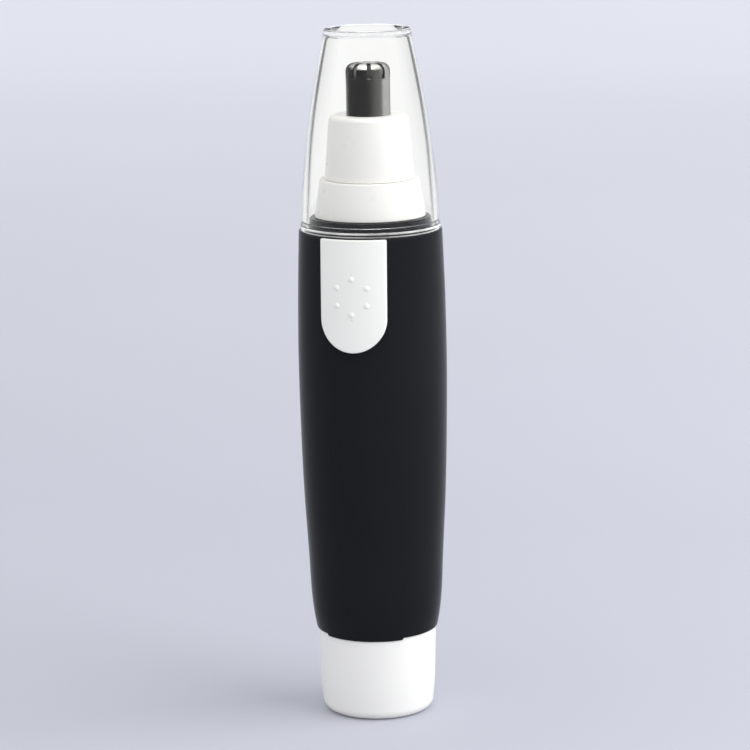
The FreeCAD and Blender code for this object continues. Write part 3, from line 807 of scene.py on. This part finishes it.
def make_guard():
    """Thin steel cap with a rounded top, radial slots and a flange at its foot."""
    inner = GUARD_R - GUARD_WALL
    ceiling = GUARD_TOP_Z - GUARD_WALL
    flange_r = 4.95
    flange_top = GUARD_FOOT_Z + 0.8
    outline = rounded([(inner, GUARD_FOOT_Z), (flange_r, GUARD_FOOT_Z), (flange_r, flange_top),
                       (GUARD_R, flange_top), (GUARD_R, GUARD_TOP_Z, GUARD_ROUND), (0, GUARD_TOP_Z),
                       (0, ceiling), (inner, ceiling, GUARD_ROUND - GUARD_WALL)], 8)
    bm = bmesh.new()
    lathe_into(bm, outline, 192)
    obj = piece_from(bm, "slotted_guard", 35)
    slots = bmesh.new()
    slots_into(slots)
    cut(obj, piece_from(slots, "slot_tool"))
    shade(obj, 30)
    finish_piece(obj, GUARD_STEEL, "cutter_head", "cutter_guard")
    mark_slots(obj)
    return obj


barrel = make_barrel()
make_lower_tier()
cover = make_cover()
make_slider()
make_foot()
make_nozzle()
guard = make_guard()

# ---------------------------------------------------------------- studio and camera, in metres

FLOOR_HOLE_R = 9.0 * MM          # about the size of the flat that the foot stands on
FLOOR_COLOUR = (0.485, 0.495, 0.56)
WALL_COLOUR = (0.74, 0.755, 0.82)
FRONT_EDGE = -1.6
WALL_Y = 1.5
WALL_TOP = 2.0
HALF_WIDTH = 3.0
BEND_R = 0.5                     # where the floor sweeps up into the wall
BEND_STEPS = 16
CARD_R = 0.3
CARD_TOP = 0.45
CARD_STEPS = 64


def floor_material():
    """Pale matte paint that lightens towards the wall. It is open under the foot and from below."""
    mat, tree, bsdf = new_material("pale_floor")
    where = place(tree)
    share = spread(tree, axis_part(tree, where, "Y"), 0.0, 1.0, 0.15, 1.1)
    uneven = spread(tree, noise(tree, where, 3.0, 2.0), 0.97, 1.0)
    pale = tint(tree, share, FLOOR_COLOUR, WALL_COLOUR)
    feed(tree, scaled(tree, pale, uneven), bsdf, "Base Color")
    feed(tree, 0.6, bsdf, "Roughness")
    feed(tree, 0.2, bsdf, "Specular IOR Level")
    flat = vector(tree, "MULTIPLY", where, (1.0, 1.0, 0.0))
    hole = number(tree, "LESS_THAN", vector(tree, "LENGTH", flat, out="Value"), FLOOR_HOLE_R)
    below = add(tree, "NewGeometry").outputs["Backfacing"]
    clear = add(tree, "BsdfTransparent").outputs[0]
    surface = blend(tree, number(tree, "MAXIMUM", hole, below), bsdf.outputs[0], clear)
    feed(tree, surface, tree.nodes["Material Output"], "Surface")
    return mat


def make_stage():
    """Floor that sweeps up into a backdrop.

    The trimmer stands on its battery cap, so the floor goes down with the cap when that is pulled off.
    """
    bend_y = WALL_Y - BEND_R
    line = [(FRONT_EDGE, 0.0), (bend_y, 0.0)]
    for k in range(1, BEND_STEPS + 1):
        a = math.pi / 2 * k / BEND_STEPS
        line.append((bend_y + BEND_R * math.sin(a), BEND_R * (1 - math.cos(a))))
    line.append((WALL_Y, WALL_TOP))
    bm = bmesh.new()
    rows = [[bm.verts.new((x, y, z)) for x in (-HALF_WIDTH, HALF_WIDTH)] for y, z in line]
    for a, b in zip(rows, rows[1:]):
        bm.faces.new([a[0], a[1], b[1], b[0]])
    floor = piece_from(bm, "stage_floor")
    if floor.data.polygons[0].normal.z < 0:
        floor.data.flip_normals()
    floor.data.materials.append(floor_material())
    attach(floor, "battery_unit")


def make_card():
    """Bright card round the trimmer, seen only by rays that a clear piece has refracted."""
    bm = bmesh.new()
    rings = []
    for z in (MM, CARD_TOP):
        angles = [2 * math.pi * k / CARD_STEPS for k in range(CARD_STEPS)]
        rings.append([bm.verts.new((CARD_R * math.cos(a), CARD_R * math.sin(a), z)) for a in angles])
    loft_into(bm, rings, closed=False)
    card = piece_from(bm, "stage_card")
    mat, tree, bsdf = new_material("lit_card")
    feed(tree, (0.0, 0.0, 0.0), bsdf, "Base Color")
    feed(tree, (1.0, 1.0, 0.985), bsdf, "Emission Color")
    feed(tree, 0.95, bsdf, "Emission Strength")
    card.data.materials.append(mat)
    card.visible_camera = False
    card.visible_diffuse = False
    card.visible_glossy = False
    card.visible_shadow = False
    card.visible_volume_scatter = False


def area_light(name, place_m, aim_m, size, size_y, radiance):
    """Rectangular panel of a given radiance, not seen itself by the camera or through clear pieces."""
    data = bpy.data.lights.new(name, "AREA")
    data.shape = "RECTANGLE"
    data.size = size
    data.size_y = size_y
    data.energy = radiance * math.pi * size * size_y
    obj = bpy.data.objects.new(name, data)
    obj.location = place_m
    obj.rotation_euler = (Vector(aim_m) - Vector(place_m)).to_track_quat("-Z", "Y").to_euler()
    obj.visible_camera = False
    obj.visible_transmission = False
    bpy.context.scene.collection.objects.link(obj)
    return obj


def make_lights():
    """Soft key from the right that leaves no mirror image, and a panel above for the glossy pieces only."""
    key = area_light("key", (0.62, 0.0, 0.42), (0, 0, 0.09), 0.85, 0.7, 2.6)
    key.visible_glossy = False
    edge = area_light("edge_light", (0.1, -0.35, 1.0), (0, 0, 0.1), 0.6, 0.6, 14.0)
    lit = bpy.data.collections.new("edge_light_lit")
    for target in (barrel, cover, guard):
        lit.objects.link(target)
    edge.light_linking.receiver_collection = lit
    world = bpy.data.worlds.new("studio")
    world.use_nodes = True
    sky = world.node_tree.nodes["Background"]
    sky.inputs["Color"].default_value = (1.0, 1.0, 1.0, 1)
    sky.inputs["Strength"].default_value = 1.08
    bpy.context.scene.world = world
    bpy.context.scene.view_settings.view_transform = "Standard"


def make_camera():
    """Long lens about 0.6 m away, a little above the object and to the right of its slider."""
    azimuth = math.radians(15.0)
    pitch = math.radians(11.5)
    roll = math.radians(-1.015)
    distance = 0.609
    height = 0.1911
    focal_share = 4.24           # focal length over the sensor's width
    data = bpy.data.cameras.new("camera")
    data.sensor_width = 36.0
    data.lens = data.sensor_width * focal_share
    data.shift_x = 0.0026
    data.clip_start = 0.01
    obj = bpy.data.objects.new("camera", data)
    obj.location = (distance * math.sin(azimuth), -distance * math.cos(azimuth), height)
    level = math.cos(pitch)
    look = Vector((-math.sin(azimuth) * level, math.cos(azimuth) * level, -math.sin(pitch)))
    turn = look.to_track_quat("-Z", "Y").to_matrix().to_4x4()
    obj.rotation_euler = (turn @ Matrix.Rotation(roll, 4, "Z")).to_euler()
    bpy.context.scene.collection.objects.link(obj)
    bpy.context.scene.camera = obj


make_stage()
make_card()
make_lights()
make_camera()
